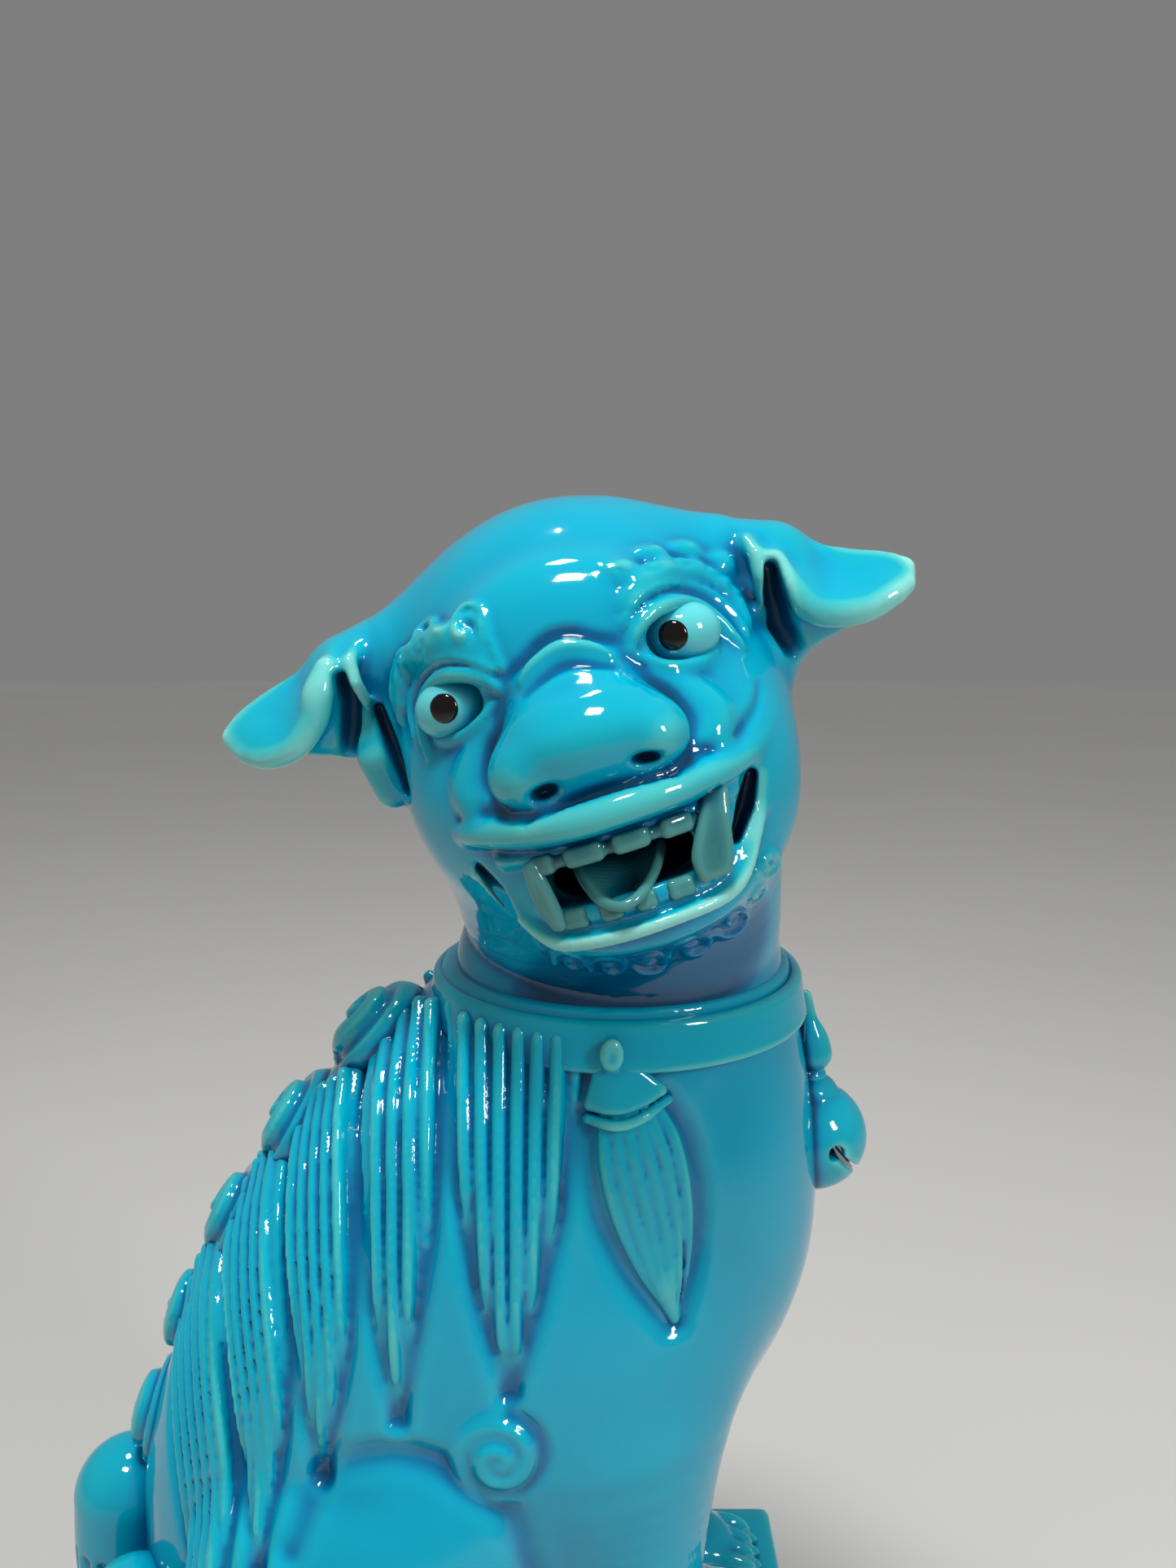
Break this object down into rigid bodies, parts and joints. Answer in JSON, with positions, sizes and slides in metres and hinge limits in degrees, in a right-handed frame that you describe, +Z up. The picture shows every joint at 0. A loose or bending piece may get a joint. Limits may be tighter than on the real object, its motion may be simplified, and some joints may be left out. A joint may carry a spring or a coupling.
{
  "type": "foo dog statue",
  "caption": "Seated foo dog in turquoise-glazed porcelain on a pierced plinth, head turned to its right, grinning, with collar, bell, tassels, ball, and curled mane and tail.",
  "frame": {"origin": "centre of the plinth's underside, which the statue stands on", "axes": "+Z up, +X where the dog's chest faces, -Y the dog's right side, to which its head is turned"},
  "size_m": [0.133, 0.0924, 0.2487],
  "materials": {
    "turquoise_glaze": "gloss",
    "mouth_glaze": "gloss",
    "eye_glaze": "gloss"
  },
  "bodies": {
    "root": {"beard_curl_1": "turquoise_glaze", "beard_curl_2": "turquoise_glaze", "beard_curl_3": "turquoise_glaze", "beard_curl_4": "turquoise_glaze", "beard_curl_5": "turquoise_glaze", "bell": "turquoise_glaze", "bell_hanger": "turquoise_glaze", "body_shell_left": "turquoise_glaze", "body_shell_right": "turquoise_glaze", "brocade_ball": "turquoise_glaze", "brow_left": "turquoise_glaze", "brow_right": "turquoise_glaze", "collar": "turquoise_glaze", "ear_left": "turquoise_glaze", "ear_right": "turquoise_glaze", "elbow_curl_left": "turquoise_glaze", "elbow_curl_right": "turquoise_glaze", "eyeball_left": "eye_glaze", "eyeball_right": "eye_glaze", "face_shell": "turquoise_glaze", "fang_left": "mouth_glaze", "fang_right": "mouth_glaze", "foreleg_left": "turquoise_glaze", "foreleg_right": "turquoise_glaze", "forepaw_left": "turquoise_glaze", "forepaw_right": "turquoise_glaze", "haunch_left": "turquoise_glaze", "haunch_right": "turquoise_glaze", "hind_paw_left": "turquoise_glaze", "hind_paw_right": "turquoise_glaze", "jaw": "turquoise_glaze", "lower_lip": "turquoise_glaze", "lower_teeth": "mouth_glaze", "neck": "turquoise_glaze", "nose": "turquoise_glaze", "plinth_bottom": "turquoise_glaze", "plinth_end_back": "turquoise_glaze", "plinth_end_front": "turquoise_glaze", "plinth_side_left": "turquoise_glaze", "plinth_side_right": "turquoise_glaze", "plinth_top": "turquoise_glaze", "skull_shell": "turquoise_glaze", "spine_curl_1": "turquoise_glaze", "spine_curl_2": "turquoise_glaze", "spine_curl_3": "turquoise_glaze", "spine_curl_4": "turquoise_glaze", "spine_curl_5": "turquoise_glaze", "tail_lobe_left": "turquoise_glaze", "tail_lobe_middle": "turquoise_glaze", "tail_lobe_right": "turquoise_glaze", "tassel_cap_left": "turquoise_glaze", "tassel_cap_right": "turquoise_glaze", "tassel_fringe_left": "turquoise_glaze", "tassel_fringe_right": "turquoise_glaze", "tongue": "mouth_glaze", "upper_lip": "turquoise_glaze", "upper_teeth": "mouth_glaze"}
  },
  "joints": []
}
